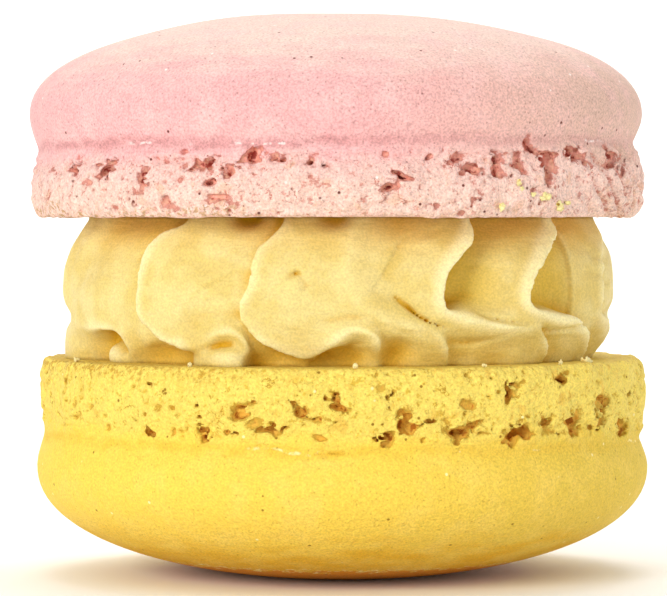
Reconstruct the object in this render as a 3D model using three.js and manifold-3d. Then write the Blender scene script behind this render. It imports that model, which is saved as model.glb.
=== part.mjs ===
// A French macaron: a pink almond-meringue shell on top, a yellow one turned over below,
// and a disc of cream piped between them with a star nozzle.
// Millimetres, +Z up. The origin is the middle of the small flat spot that it rests on,
// and the front faces -Y. Azimuths are degrees from the front towards +X.
//
// Each shell is a smooth shallow dome, a soft waist under the dome's rolled lip, and the
// foot: a ruffled, crumbly band with open caves, which ends in a flat baked underside.
// The filling is one solid. Each tooth of the nozzle left a ridge on its side: the ridges start
// at the upper shell, are steep on one side, and turn into a lower row of rounded lobes.

import * as THREE from "three";
import { mergeVertices } from "three/addons/utils/BufferGeometryUtils.js";
import Module from "manifold-3d";

const wasm = await Module();
wasm.setup();

// ---- Driving dimensions, mm ----
const DOME_POWER = 2.15; // 2 would be an ellipse
const EDGE_ROUND = 0.7; // how far the rounded edge of the underside pulls in
const TOP_SHELL = {
  height: 15.1, // underside to the top of the dome
  domeRadius: 22.95,
  widest: 7.6, // height of the dome's widest ring above the underside
  waist: 5.4, // height of the waist between dome and foot
  waistRadius: 22.38,
  bulge: 0.6, // how far the foot swells past the waist
  belly: 2.4, // height at which the foot is widest
  flatRadius: 0, // no flat spot
  turn: 1,
  seed: 3,
  // Azimuth, height above the underside, width and height of the largest caves.
  caves: [
    [-56.7, 3.7, 1.7, 0.9], [-45.7, 3.5, 1.3, 1.2], [-24.4, 3.8, 1.7, 0.8], [-23.6, 2.4, 1.1, 1],
    [-14.5, 4.5, 1.3, 0.9], [9, 2, 1, 0.8], [22.6, 3.7, 1.9, 1.4], [29.8, 3.4, 1.3, 1],
    [35, 3.8, 1.1, 1.4], [41.8, 3.9, 1.6, 1.9], [48, 4.6, 2.2, 1], [61, 4.1, 1.5, 1.5],
    [69, 2.7, 1.2, 1.2],
  ],
};
const BOTTOM_SHELL = {
  height: 16.1,
  domeRadius: 22.87,
  widest: 8.05,
  waist: 5.8,
  waistRadius: 22.35,
  bulge: 0.4,
  belly: 2.9,
  flatRadius: 6.5, // the spot that it rests on
  turn: -1, // this shell is turned over, so its azimuths run the other way
  seed: 11,
  caves: [
    [-25.4, 4.8, 0.9, 0.9], [-18.7, 3.2, 1.4, 1], [-12.4, 4.4, 1.4, 0.8], [-1.1, 2.5, 1.3, 0.9],
    [11, 3.9, 1.3, 1.9], [20.4, 4.6, 1.2, 1], [33, 4.8, 2.4, 1.2], [44.4, 1.2, 1, 1],
    [47.4, 4.2, 2.7, 1.2], [57, 3.7, 2.1, 1.8], [65.3, 4.8, 1.4, 0.8],
  ],
};
const FILLING_HEIGHT = 10.5;
const TOP_SHIFT = -0.5; // the hand-set shell and cream sit a little to the left
const FILLING_SHIFT = -0.3;

// ---- Resolution of the faceted surfaces ----
const DOME_SEGMENTS = 48;
const FOOT_SEGMENTS = 96;
const DOME_ROWS = 8;
const LIP_ROWS = 3;
const FOOT_ROWS = 6;
const SMALL_CAVES = 36; // beside the large ones
const FLUTE_SEGMENTS = 9; // from one ridge's crest to the next
// Heights of the filling's rows of points: closest where the ridges turn into the lobes.
const FILLING_ROWS = [
  10.5, 9.7, 8.8, 7.9, 7, 6.1, 5.2, 4.4, 3.8, 3.4, 3.1, 2.85, 2.6, 2.25, 1.75, 1.2, 0.6, 0,
];

const TURN = 2 * Math.PI;
const radians = THREE.MathUtils.degToRad;
const { clamp, lerp, smoothstep } = THREE.MathUtils;

// ---- Repeatable noise ----

// A number from 0 to 1 that depends only on its three whole-number arguments.
function hash(i, j, seed) {
  const s = Math.sin(i * 127.1 + j * 311.7 + seed * 74.7) * 43758.5453;
  return s - Math.floor(s);
}

// Smooth noise from -1 to 1 that repeats after `period` steps of x.
function noise(x, y, period, seed) {
  const i = Math.floor(x);
  const j = Math.floor(y);
  const fx = smoothstep(x - i, 0, 1);
  const fy = smoothstep(y - j, 0, 1);
  const wrap = (n) => ((n % period) + period) % period;
  const low = lerp(hash(wrap(i), j, seed), hash(wrap(i + 1), j, seed), fx);
  const high = lerp(hash(wrap(i), j + 1, seed), hash(wrap(i + 1), j + 1, seed), fx);
  return 2 * lerp(low, high, fy) - 1;
}

// ---- Mesh building ----

const around = (azimuth, radius, height) => [
  radius * Math.sin(azimuth),
  -radius * Math.cos(azimuth),
  height,
];

// Collects points and triangles of a closed surface.
class Skin {
  positions = [];
  triangles = [];

  point(x, y, z) {
    this.positions.push(x, y, z);
    return this.positions.length / 3 - 1;
  }

  at(index) {
    return new THREE.Vector3().fromArray(this.positions, 3 * index);
  }

  ring(count, radiusAt, heightAt) {
    return Array.from({ length: count }, (_, i) => {
      const azimuth = (TURN * i) / count;
      return this.point(...around(azimuth, radiusAt(azimuth), heightAt(azimuth)));
    });
  }

  triangle(a, b, c) {
    this.triangles.push(a, b, c);
  }

  // A quad, split along its shorter diagonal.
  quad(a, b, c, d) {
    if (this.at(a).distanceTo(this.at(c)) < this.at(b).distanceTo(this.at(d))) {
      this.triangle(a, b, c);
      this.triangle(a, c, d);
    } else {
      this.triangle(b, c, d);
      this.triangle(b, d, a);
    }
  }

  // A fan from `tip` to a ring that runs counter-clockwise seen from outside.
  cap(tip, ring) {
    ring.forEach((a, i) => this.triangle(tip, a, ring[(i + 1) % ring.length]));
  }

  // Joins an upper ring to a lower one that has the same number of points, twice or half as many.
  band(upper, lower) {
    const n = Math.min(upper.length, lower.length);
    const at = (ring, i) => ring[i % ring.length];
    for (let i = 0; i < n; i++) {
      if (upper.length === lower.length) {
        this.quad(at(upper, i), at(lower, i), at(lower, i + 1), at(upper, i + 1));
      } else if (lower.length > upper.length) {
        this.triangle(at(upper, i), at(lower, 2 * i), at(lower, 2 * i + 1));
        this.triangle(at(upper, i), at(lower, 2 * i + 1), at(upper, i + 1));
        this.triangle(at(upper, i + 1), at(lower, 2 * i + 1), at(lower, 2 * i + 2));
      } else {
        this.triangle(at(upper, 2 * i), at(lower, i), at(upper, 2 * i + 1));
        this.triangle(at(upper, 2 * i + 1), at(lower, i), at(lower, i + 1));
        this.triangle(at(upper, 2 * i + 1), at(lower, i + 1), at(upper, 2 * i + 2));
      }
    }
  }

  geometry() {
    const made = new THREE.BufferGeometry();
    made.setAttribute("position", new THREE.Float32BufferAttribute(this.positions, 3));
    made.setIndex(this.triangles);
    made.computeVertexNormals();
    return made;
  }
}

function toSolid(geometry) {
  const bare = geometry.clone();
  bare.deleteAttribute("normal");
  bare.deleteAttribute("uv");
  const merged = mergeVertices(bare, 1e-5);
  const vertProperties = new Float32Array(merged.attributes.position.array);
  const triVerts = new Uint32Array(merged.index.array);
  return new wasm.Manifold(new wasm.Mesh({ numProp: 3, vertProperties, triVerts }));
}

function toGeometry(solid) {
  const { vertProperties, triVerts } = solid.getMesh();
  const made = new THREE.BufferGeometry();
  made.setAttribute("position", new THREE.BufferAttribute(vertProperties, 3));
  made.setIndex(new THREE.BufferAttribute(triVerts, 1));
  made.computeVertexNormals();
  return made;
}

// ---- Shells ----
// A shell's own frame has its flat underside at z 0 and its dome up.

// Slow unevenness of the dome, mm outward.
function domeWander(azimuth, share, seed) {
  const turns = azimuth / TURN;
  return 0.14 * share * noise(turns * 5, 2 * share, 5, seed) + 0.06 * noise(turns * 12, 0, 12, seed);
}

// Ruffles and crumbs of the foot, mm outward.
function footRelief(shell, azimuth, height) {
  const turns = azimuth / TURN;
  const ruffle = 0.18 * noise(turns * 24, height / 4, 24, shell.seed + 1);
  const crumb = 0.28 * noise(turns * 72, height / 1.1, 72, shell.seed + 2);
  const band = smoothstep(height, 0, 1) * (1 - smoothstep(height, shell.waist - 1.2, shell.waist));
  return (ruffle + crumb) * band;
}

// Radius of the side below the dome's widest ring: edge, foot, waist and lip.
function sideRadius(shell, height) {
  const swell = shell.bulge * smoothstep(shell.waist - height, 0, shell.waist - shell.belly);
  const edge = EDGE_ROUND * clamp(1 - height / shell.belly, 0, 1) ** 4;
  const rise = smoothstep(height, shell.waist, shell.widest);
  return shell.waistRadius + swell - edge + (shell.domeRadius - shell.waistRadius) * rise;
}

// How much of the dome's top the flat spot takes off.
function flatCut(shell) {
  const share = shell.flatRadius / shell.domeRadius;
  const kept = Math.pow(1 - Math.pow(share, DOME_POWER), 1 / DOME_POWER);
  return ((shell.height - shell.widest) * (1 - kept)) / kept;
}

function shellBody(shell) {
  const skin = new Skin();

  // Dome: a superellipse from the pole, or from the flat spot, down to its widest ring.
  const rise = shell.height + flatCut(shell) - shell.widest;
  const first = Math.asin(Math.pow(shell.flatRadius / shell.domeRadius, DOME_POWER / 2));
  const rings = [];
  for (let k = shell.flatRadius > 0 ? 0 : 1; k <= DOME_ROWS; k++) {
    const angle = lerp(first, Math.PI / 2, k / DOME_ROWS);
    const radius = shell.domeRadius * Math.pow(Math.sin(angle), 2 / DOME_POWER);
    const height = shell.widest + rise * Math.pow(Math.max(Math.cos(angle), 0), 2 / DOME_POWER);
    const level = k === 0 ? shell.height : height;
    const wander = k === 0 ? 0 : radius / shell.domeRadius;
    const place = (a) => radius + domeWander(a, wander, shell.seed) * wander;
    rings.push(skin.ring(DOME_SEGMENTS, place, () => level));
  }
  skin.cap(skin.point(0, 0, shell.height), rings[0]);

  // Lip: the dome rolls in to the waist.
  for (let k = 1; k <= LIP_ROWS; k++) {
    const height = lerp(shell.widest, shell.waist, k / LIP_ROWS);
    const place = (a) => sideRadius(shell, height) + domeWander(a, 1, shell.seed);
    rings.push(skin.ring(k === LIP_ROWS ? FOOT_SEGMENTS : DOME_SEGMENTS, place, () => height));
  }
  rings.slice(1).forEach((lower, k) => skin.band(rings[k], lower));

  // Foot: from the waist to the edge of the underside.
  let upper = rings.at(-1);
  for (let row = 1; row <= FOOT_ROWS; row++) {
    const level = shell.waist * (1 - row / FOOT_ROWS);
    const heightAt = (a) =>
      row < FOOT_ROWS ? level + 0.2 * noise((a / TURN) * 60, row, 60, shell.seed + 7) : 0;
    const radiusAt = (a) =>
      sideRadius(shell, level) + footRelief(shell, a, level) + domeWander(a, 1, shell.seed);
    const lower = skin.ring(FOOT_SEGMENTS, radiusAt, heightAt);
    skin.band(upper, lower);
    upper = lower;
  }

  // Underside: flat, with fewer points towards the middle.
  for (const [count, radius] of [[DOME_SEGMENTS, 16], [DOME_SEGMENTS / 2, 9]]) {
    const inner = skin.ring(count, () => radius, () => 0);
    skin.band(upper, inner);
    upper = inner;
  }
  skin.cap(skin.point(0, 0, 0), [...upper].reverse());
  return skin.geometry();
}

// A ragged lump to scoop a cave with: a squashed twenty-sided ball with its corners moved about.
function scoop(shell, azimuth, height, width, tall, depth, seed) {
  const ball = new THREE.IcosahedronGeometry(1, 0);
  ball.deleteAttribute("normal");
  ball.deleteAttribute("uv");
  const lump = mergeVertices(ball, 1e-5);
  const corners = lump.attributes.position;
  const middle = sideRadius(shell, height) - 0.15 * depth;
  for (let k = 0; k < corners.count; k++) {
    const p = new THREE.Vector3().fromBufferAttribute(corners, k);
    p.multiplyScalar(lerp(0.8, 1.25, hash(k, seed, shell.seed + 9)));
    const turned = shell.turn * radians(azimuth) + (p.x * width) / 2 / middle;
    corners.setXYZ(k, ...around(turned, middle + p.z * depth, height + (p.y * tall) / 2));
  }
  return toSolid(lump);
}

// Large caves are two overlapping scoops. Small ones open mostly right under the waist.
function caves(shell) {
  const scoops = [];
  shell.caves.forEach(([azimuth, height, width, tall], n) => {
    const shift = width > 1.2 ? 0.3 : 0;
    for (const side of shift ? [-1, 1] : [1]) {
      const across = azimuth + THREE.MathUtils.radToDeg((side * shift * width) / shell.waistRadius);
      const up = height + side * 0.12 * tall;
      const share = shift ? 0.62 : 1;
      scoops.push(scoop(shell, across, up, width * share, tall, 1.1, 2 * n + side));
    }
  });
  for (let n = 0; n < SMALL_CAVES; n++) {
    const azimuth = ((n + hash(n, 1, shell.seed)) * 360) / SMALL_CAVES - 180;
    const down = hash(n, 2, shell.seed) ** 1.6;
    const size = lerp(1.9, 0.8, Math.max(down, hash(n, 3, shell.seed)));
    const near = shell.caves.some(([other]) => Math.abs(other - azimuth) * 0.4 < size + 1);
    const height = lerp(shell.waist - 0.6 - size / 3, 1, down);
    const tall = size * lerp(0.6, 1, hash(n, 4, shell.seed));
    if (!near) scoops.push(scoop(shell, azimuth, height, size, tall, size / 2, n + 100));
  }
  return wasm.Manifold.union(scoops);
}

function makeShell(shell) {
  return toGeometry(toSolid(shellBody(shell)).subtract(caves(shell)));
}

// ---- Filling ----
// Its own frame has its lower face at z 0. Its points are laid out along the crests of the
// ridges, with FLUTE_SEGMENTS of them round the side from each crest to the next.

// Radius of the crests and depth of the deepest valleys, by height.
const CREST_OUTLINE = [[0, 18.9], [1.2, 19.85], [2.8, 20.45], [5.3, 20.75], [8, 20.35], [10.5, 19.1]];
const VALLEY_DEPTH = [[0, 3], [2, 2.5], [3.3, 2.2], [5, 2.7], [8, 3.1], [10.5, 3.6]];
const WALL_SHARE = 0.09; // how much of the way to the next crest a steep wall takes up
const OVERHANG = 0.6; // how far a crest hangs over the valley on its steep side
const FACE_POWER = 1.3; // above 1 the cream is rounder at the crests than in the valleys

// Each crest as height and azimuth from the top down, which of its sides is the steep one (1 the
// side towards +X, -1 the other, 0 neither), and how deep the valley after it is, as a share.
const FRONT_CRESTS = [
  {
    route: [[10.5, -74], [7.3, -79.5], [4, -80], [2.7, -67.6], [2.3, -56], [1.2, -51.5], [0, -51.5]],
    steep: -1,
    valley: 0.65,
  },
  {
    route: [[10.5, -33.5], [9, -41.2], [5.7, -44], [2.9, -42.5], [1.6, -37.5], [1, -28], [0, -20]],
    steep: -1,
    valley: 0.75,
  },
  {
    route: [[10.5, -10.2], [8.4, -16.1], [6.4, -17.5], [4.2, -20], [2.2, -17.4], [0.8, -11], [0, -5]],
    steep: -1,
    valley: 0.25,
  },
  {
    route: [[10.5, 3.6], [7.2, 1.7], [5, 3.4], [3.3, 8.7], [2.6, 14.5], [1.6, 21.6], [0, 23]],
    steep: 0,
    valley: 0.35,
  },
  {
    route: [[10.5, 29.5], [8.7, 27.7], [6.4, 21.6], [4.8, 20.7], [3.4, 24.5], [2.7, 41], [1.3, 49],
      [0, 49]],
    steep: 1,
    valley: 1,
  },
  {
    route: [[10.5, 54.1], [9.3, 53.1], [6.3, 43.7], [4.8, 41.7], [3.4, 47], [2.7, 61], [1.6, 67], [0, 69]],
    steep: 1,
    valley: 1,
  },
  {
    route: [[10.5, 80], [7.7, 73.5], [5.1, 70.5], [3.4, 73], [2.6, 82], [1.6, 87], [0, 88]],
    steep: 1,
    valley: 0.9,
  },
];
// At the back a crest runs straight over into its lobe, or dips further first and curls up into it.
const CREST_OVER = [[10.5, 8.5], [7.6, 3.5], [4.8, -0.3], [3.5, 2.6], [2.7, 16], [1.6, 25], [0, 26]];
const CREST_CURL = [[10.5, 10.5], [8.2, 1.2], [3.5, 0.4], [2, 5], [1.2, 15], [0, 24]];
const BACK_CRESTS = [
  { middle: 98, template: CREST_OVER, steep: 1, valley: 1 },
  { middle: 121, template: CREST_OVER, steep: 1, valley: 0.8 },
  { middle: 146, template: CREST_OVER, steep: 1, valley: 1 },
  { middle: 173, template: CREST_OVER, steep: 1, valley: 0.9 },
  { middle: 201, template: CREST_CURL, steep: -1, valley: 0.8 },
  { middle: 228, template: CREST_CURL, steep: -1, valley: 0.7 },
  { middle: 253, template: CREST_CURL, steep: -1, valley: 0.8 },
];
// Pockets under the crests: azimuth, height, half width, half height and depth.
const POCKETS = [
  [-62, 1, 4, 1.2, 1], [-41, 0.5, 2.4, 1.1, 1.4], [-14, 0.2, 1.8, 0.9, 1.2], [0, 0.6, 1.5, 1, 1.2],
  [11, 0.8, 0.8, 1.1, 1],
];

// The value at a height on the straight lines through [height, value] pairs.
function valueAt(pairs, height) {
  const rising = pairs[0][0] < pairs.at(-1)[0] ? pairs : [...pairs].reverse();
  const k = Math.max(1, rising.findIndex(([other]) => other >= height));
  const [[low, first], [high, last]] = [rising[k - 1], rising[k]];
  return lerp(first, last, (height - low) / (high - low));
}

function allCrests() {
  const back = BACK_CRESTS.map(({ middle, template, steep, valley }, n) => {
    const stretch = lerp(0.85, 1.05, hash(n, 1, 21));
    return { route: template.map(([height, turn]) => [height, middle + turn * stretch]), steep, valley };
  });
  return [...FRONT_CRESTS, ...back];
}

// A point of the side. `share` runs from 0 at a crest to 1 at the next one.
function fillingPoint(crest, next, nextTurn, segment, height) {
  const [start, end] = [valueAt(crest.route, height), valueAt(next.route, height) + nextTurn];
  const [wallAfter, wallBefore] = [Math.max(crest.steep, 0), Math.max(-next.steep, 0)];
  const bottom = 0.5 + (0.5 - WALL_SHARE) * (wallBefore - wallAfter);
  const wallSegments = clamp(Math.round(FLUTE_SEGMENTS * bottom), 2, FLUTE_SEGMENTS - 2);
  const before = segment <= wallSegments;
  const share = before
    ? (bottom * segment) / wallSegments
    : lerp(bottom, 1, (segment - wallSegments) / (FLUTE_SEGMENTS - wallSegments));
  const down = before ? share / bottom : (1 - share) / (1 - bottom);
  const radius = valueAt(CREST_OUTLINE, height);
  const azimuth = radians(lerp(start, end, share));
  const overhang = (1 - down) * (before ? wallAfter : -wallBefore) * OVERHANG;
  const dent = POCKETS.reduce((sum, [middle, up, wide, tall, deep]) => {
    const across = ((azimuth - radians(middle)) * radius) / wide;
    return sum + deep * Math.exp(-(across ** 2) - ((height - up) / tall) ** 2);
  }, 0);
  const sway = 0.12 * noise((azimuth / TURN) * 40, height / 3, 40, 31);
  const valley = crest.valley * valueAt(VALLEY_DEPTH, height) * down ** FACE_POWER;
  return around(azimuth + overhang / radius, radius - valley - dent + sway, height);
}

function makeFilling() {
  const skin = new Skin();
  const crests = allCrests();
  const rings = FILLING_ROWS.map((height) =>
    crests.flatMap((crest, k) =>
      Array.from({ length: FLUTE_SEGMENTS }, (_, segment) => {
        const last = k === crests.length - 1;
        const next = crests[last ? 0 : k + 1];
        return skin.point(...fillingPoint(crest, next, last ? 360 : 0, segment, height));
      }),
    ),
  );
  rings.slice(1).forEach((lower, k) => skin.band(rings[k], lower));
  skin.cap(skin.point(0, 0, FILLING_HEIGHT), rings[0]);
  skin.cap(skin.point(0, 0, 0), [...rings.at(-1)].reverse());
  return skin.geometry();
}

// ---- Materials and assembly ----

const baked = (color) => new THREE.MeshStandardMaterial({ color, roughness: 0.85, metalness: 0 });
const creamy = (color) => new THREE.MeshStandardMaterial({ color, roughness: 0.45, metalness: 0 });

function named(name, geometry, material) {
  const mesh = new THREE.Mesh(geometry, material);
  mesh.name = name;
  return mesh;
}

const bottomShell = named("bottom_shell", makeShell(BOTTOM_SHELL), baked(0xf7d75c));
bottomShell.position.set(0, 0, BOTTOM_SHELL.height);
bottomShell.rotation.set(0, Math.PI, 0);

const filling = named("filling", makeFilling(), creamy(0xf6dc92));
filling.position.set(FILLING_SHIFT, 0, BOTTOM_SHELL.height);

const topShell = named("top_shell", makeShell(TOP_SHELL), baked(0xf8c4bc));
topShell.position.set(TOP_SHIFT, 0, BOTTOM_SHELL.height + FILLING_HEIGHT);

const macaron = new THREE.Group();
macaron.add(bottomShell, filling, topShell);

export default macaron;
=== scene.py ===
"""A French macaron: two baked almond shells round a disc of butter cream piped with a star nozzle.

The shells are meringue that was piped as discs, left to form a skin, and baked. The skin stays
smooth and domes up, and under it the batter bursts out as the foot: a ruffled, crumbly band with
open caves. The cream keeps the ridges of the nozzle's teeth, which lean over and end in a row of
lower lobes.

Forms are worked out in millimetres on grids that run round the upright axis, and turned into meshes
in metres. Azimuths are degrees from the front (-Y) towards +X.
"""

import math
from dataclasses import dataclass
from functools import partial

import bmesh
import bpy
import numpy as np
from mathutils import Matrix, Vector


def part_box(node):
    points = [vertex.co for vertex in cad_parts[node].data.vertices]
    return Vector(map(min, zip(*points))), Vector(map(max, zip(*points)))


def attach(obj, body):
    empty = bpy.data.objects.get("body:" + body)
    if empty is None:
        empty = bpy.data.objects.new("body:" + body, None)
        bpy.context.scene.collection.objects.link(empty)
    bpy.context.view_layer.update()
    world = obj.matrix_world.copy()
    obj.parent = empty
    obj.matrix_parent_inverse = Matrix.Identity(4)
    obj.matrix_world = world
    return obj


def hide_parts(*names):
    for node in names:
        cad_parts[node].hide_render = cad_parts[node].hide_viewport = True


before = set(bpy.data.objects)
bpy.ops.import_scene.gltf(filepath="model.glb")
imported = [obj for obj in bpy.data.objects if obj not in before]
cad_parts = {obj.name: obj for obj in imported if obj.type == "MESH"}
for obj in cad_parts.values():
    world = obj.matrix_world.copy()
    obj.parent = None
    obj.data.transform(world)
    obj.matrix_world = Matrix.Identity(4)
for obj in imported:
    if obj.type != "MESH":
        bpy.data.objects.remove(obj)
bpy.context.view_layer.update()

MM = 0.001
TURN = 2 * math.pi


# ---- The stack, from the frame ----


def level(node, corner):
    """Height of a node's lowest (0) or highest (1) point, mm."""
    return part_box(node)[corner][2] / MM


REST_LEVEL = level("bottom_shell", 0)
CREAM_BASE = level("filling", 0)
CREAM_TOP = level("filling", 1)
CROWN_LEVEL = level("top_shell", 1)
CREAM_HEIGHT = CREAM_TOP - CREAM_BASE

# The stack was put together by hand, so the upper shell and the cream sit a little to the left.
TOP_SHIFT = -0.5
CREAM_SHIFT = -0.3


# ---- Small mathematics ----


def ease(share):
    """0 to 1 with a level start and end."""
    return (1 - np.cos(math.pi * np.clip(share, 0, 1))) / 2


def between(value, low, high):
    """How far value is from low to high, eased."""
    return ease((value - low) / (high - low))


def smooth_union(a, b, blend):
    """The nearer of two distances, with a fillet where they meet."""
    overlap = np.maximum(blend - np.abs(a - b), 0) / blend
    return np.minimum(a, b) - overlap**2 * blend / 4


class RoundGrid:
    """Samples round the upright axis: azimuth in radians, then a way along the side and a way
    outwards, both in mm."""

    def __init__(self, radius, step, along, out):
        self.radius = radius
        self.columns = 8 * round(TURN * radius / step / 8)
        self.azimuth = TURN * np.arange(self.columns) / self.columns
        self.along = np.linspace(*along, round((along[1] - along[0]) / step) + 1)
        self.out = np.linspace(*out, round((out[1] - out[0]) / step) + 1)

    def noise(self, rng, *features):
        """Smooth random values from -1 to 1. features: sizes of the lumps round, along and out."""
        cells = round(TURN * self.radius / features[0])
        axes = [self.azimuth / TURN * cells]
        axes += [(a - a[0]) / size for a, size in zip((self.along, self.out), features[1:])]
        counts = [cells] + [int(a[-1]) + 3 for a in axes[1:]]
        values = rng.uniform(-1, 1, counts)
        for k, axis in enumerate(axes):
            whole = np.floor(axis).astype(int)
            shape = [-1 if k == other else 1 for other in range(len(axes))]
            share = between(axis - whole, 0, 1).reshape(shape)
            low = np.take(values, whole % counts[k], axis=k)
            high = np.take(values, (whole + 1) % counts[k], axis=k)
            values = low * (1 - share) + high * share
        return values

    def window(self, azimuth, along, half_width, half_height):
        """Indices and offsets in mm of the samples near a point of the side."""
        reach = int(half_width / TURN / self.radius * self.columns) + 1
        middle = round(azimuth / TURN * self.columns)
        columns = np.arange(middle - reach, middle + reach + 1)
        rows = np.flatnonzero(np.abs(self.along - along) <= half_height)
        across = columns * TURN / self.columns * self.radius - azimuth * self.radius
        return columns % self.columns, rows, across, self.along[rows] - along

    def crowding(self, field, reach):
        """The share of solid around each sample: above a half in folds and below it on rims."""
        share = (field < 0).astype(float)
        round_step = self.radius * TURN / self.columns
        steps = (round_step, self.along[1] - self.along[0], self.out[1] - self.out[0])
        for axis in (0, 0, 1, 1, 2, 2):  # averaged twice each way
            near = round(reach / steps[axis])
            pad = [(near + 1, near) if axis == other else (0, 0) for other in range(3)]
            total = np.cumsum(np.pad(share, pad, mode="edge" if axis else "wrap"), axis=axis)
            start = np.take(total, range(total.shape[axis] - 2 * near - 1), axis=axis)
            end = np.take(total, range(2 * near + 1, total.shape[axis]), axis=axis)
            share = (end - start) / (2 * near + 1)
        return share

    def at(self, values, azimuth, along, out):
        """Values of the samples, at places between them."""
        place = [
            azimuth / TURN * self.columns,
            np.interp(along, self.along, range(len(self.along))),
            np.interp(out, self.out, range(len(self.out))),
        ]
        whole = [np.floor(axis).astype(int) for axis in place]
        total = 0
        for corner in ((i, j, k) for i in (0, 1) for j in (0, 1) for k in (0, 1)):
            share = 1
            index = []
            for axis, low, up, count in zip(place, whole, corner, values.shape):
                share = share * (axis - low if up else 1 - axis + low)
                index.append((low + up) % count)
            total = total + share * values[tuple(index)]
        return total


def net(field, grid):
    """The surface where a field on a RoundGrid is zero, solid below zero, with a point in each cell
    that it crosses. Returns azimuth, along and out of each point, the quads, and the number of each
    cell's point."""
    closed = np.concatenate([field, field[:1]])
    inside = closed < 0
    corners = [(i, j, k) for i in (0, 1) for j in (0, 1) for k in (0, 1)]
    size = [n - 1 for n in closed.shape]
    shares = (inside[i:, j:, k:][: size[0], : size[1], : size[2]] for i, j, k in corners)
    count = sum(share.astype(np.int8) for share in shares)
    cells = np.argwhere((count > 0) & (count < 8))
    value = np.stack([closed[tuple((cells + corner).T)] for corner in corners], axis=1)
    total = np.zeros((len(cells), 3))
    crossings = np.zeros((len(cells), 1))
    for a, first in enumerate(corners):
        for b in range(a + 1, len(corners)):
            way = np.subtract(corners[b], first)
            if np.abs(way).sum() != 1:
                continue
            crosses = (value[:, a] < 0) != (value[:, b] < 0)
            change = np.where(crosses, value[:, a] - value[:, b], 1)
            share = np.where(crosses, value[:, a] / change, 0)
            total += crosses[:, None] * (first + share[:, None] * way)
            crossings += crosses[:, None]
    points = cells + total / crossings
    index = np.full(size, -1)
    index[tuple(cells.T)] = np.arange(len(cells))

    quads = []
    for axis in range(3):
        # Each sample-to-sample step that the surface crosses is ringed by four cells.
        whole = closed if axis == 0 else field
        other = [k for k in range(3) if k != axis]
        nearer = np.take(whole, range(whole.shape[axis] - 1), axis=axis)
        further = np.take(whole, range(1, whole.shape[axis]), axis=axis)
        steps = np.argwhere((nearer < 0) != (further < 0))
        for k in other:
            if k != 0:
                steps = steps[(steps[:, k] > 0) & (steps[:, k] < size[k])]
        around = []
        for da, db in ((1, 1), (0, 1), (0, 0), (1, 0)):
            cell = steps.copy()
            cell[:, other[0]] -= da
            cell[:, other[1]] -= db
            cell[:, 0] %= size[0]
            around.append(index[tuple(cell.T)])
        quad = np.stack(around, axis=1)
        outwards = nearer[tuple(steps.T)] < 0
        if axis == 1:
            outwards = ~outwards
        quads.append(np.where(outwards[:, None], quad, quad[:, ::-1]))
    azimuth = points[:, 0] * TURN / grid.columns
    along = np.interp(points[:, 1], range(len(grid.along)), grid.along)
    out = np.interp(points[:, 2], range(len(grid.out)), grid.out)
    return azimuth, along, out, np.concatenate(quads), index


def stitch(outer, inner):
    """Faces between two closed rings, the inner one with as many points or half as many."""
    if len(outer) == len(inner):
        return np.stack([outer, np.roll(outer, -1), np.roll(inner, -1), inner], axis=1).tolist()
    even, odd, after = outer[0::2], outer[1::2], np.roll(outer, -2)[0::2]
    following = np.roll(inner, -1)
    faces = [(even, odd, inner), (odd, following, inner), (odd, after, following)]
    return [face for trio in faces for face in np.stack(trio, axis=1).tolist()]


def mesh_piece(name, points, faces, material, flip=False, **values):
    """An object from points in mm. values: numbers for each point, by name, for its material."""
    mesh = bpy.data.meshes.new(name)
    if flip:
        faces = [face[::-1] for face in faces]
    mesh.from_pydata((np.asarray(points) * MM).tolist(), [], faces)
    mesh.shade_smooth()
    for kind, numbers in values.items():
        numbers = np.asarray(numbers, dtype=float)
        mesh.attributes.new(kind, "FLOAT", "POINT").data.foreach_set("value", numbers)
    mesh.materials.append(material)
    piece = bpy.data.objects.new(name, mesh)
    bpy.context.scene.collection.objects.link(piece)
    return piece


# ---- Materials ----

EASED = {"interpolation_type": "SMOOTHSTEP"}  # a range that eases in and out
TINTED = {"data_type": "RGBA", "blend_type": "MULTIPLY"}  # a colour made darker or lighter


def linear(colour):
    """An sRGB hex colour as linear RGBA."""
    parts = [int(colour[k : k + 2], 16) / 255 for k in (1, 3, 5)]
    return [c / 12.92 if c <= 0.04045 else ((c + 0.055) / 1.055) ** 2.4 for c in parts] + [1]


def add(material, kind, inputs=(), out=0, **settings):
    """Adds a node and returns one of its outputs. An input is a value or another node's output, and
    inputs are given in their own order, or by name."""
    tree = material.node_tree
    made = tree.nodes.new("ShaderNode" + kind)
    for name, value in settings.items():
        setattr(made, name, value)
    given = inputs if isinstance(inputs, dict) else dict(enumerate(inputs))
    for name, value in given.items():
        if isinstance(value, bpy.types.NodeSocket):
            tree.links.new(value, made.inputs[name])
        else:
            made.inputs[name].default_value = value
    return made.outputs[out] if made.outputs else None


def blank(name):
    """A material without nodes, and add() for that material."""
    material = bpy.data.materials.new(name)
    material.use_nodes = True
    material.node_tree.nodes.clear()
    return material, partial(add, material)


def millimetres(node):
    """Object coordinates in mm, so that a noise scale is one over the size of its lumps."""
    place = node("TexCoord", out="Object")
    return node("VectorMath", {0: place, "Scale": 1 / MM}, operation="SCALE")


def lumps(node, where, size, spread=None, values=(0, 1), detail=2.0, offset=0.0):
    """Noise with lumps of a size in mm, from 0 to 1. With a spread, such as (0.3, 0.7), that part
    of the noise is brought to other values and the rest is cut off."""
    moved = node("VectorMath", (where, (offset, offset, offset)))
    look = {"Vector": moved, "Scale": 1 / size, "Detail": detail, "Roughness": 0.55}
    noise = node("TexNoise", look)
    return node("MapRange", (noise, *spread, *values), **EASED) if spread else noise


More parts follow.
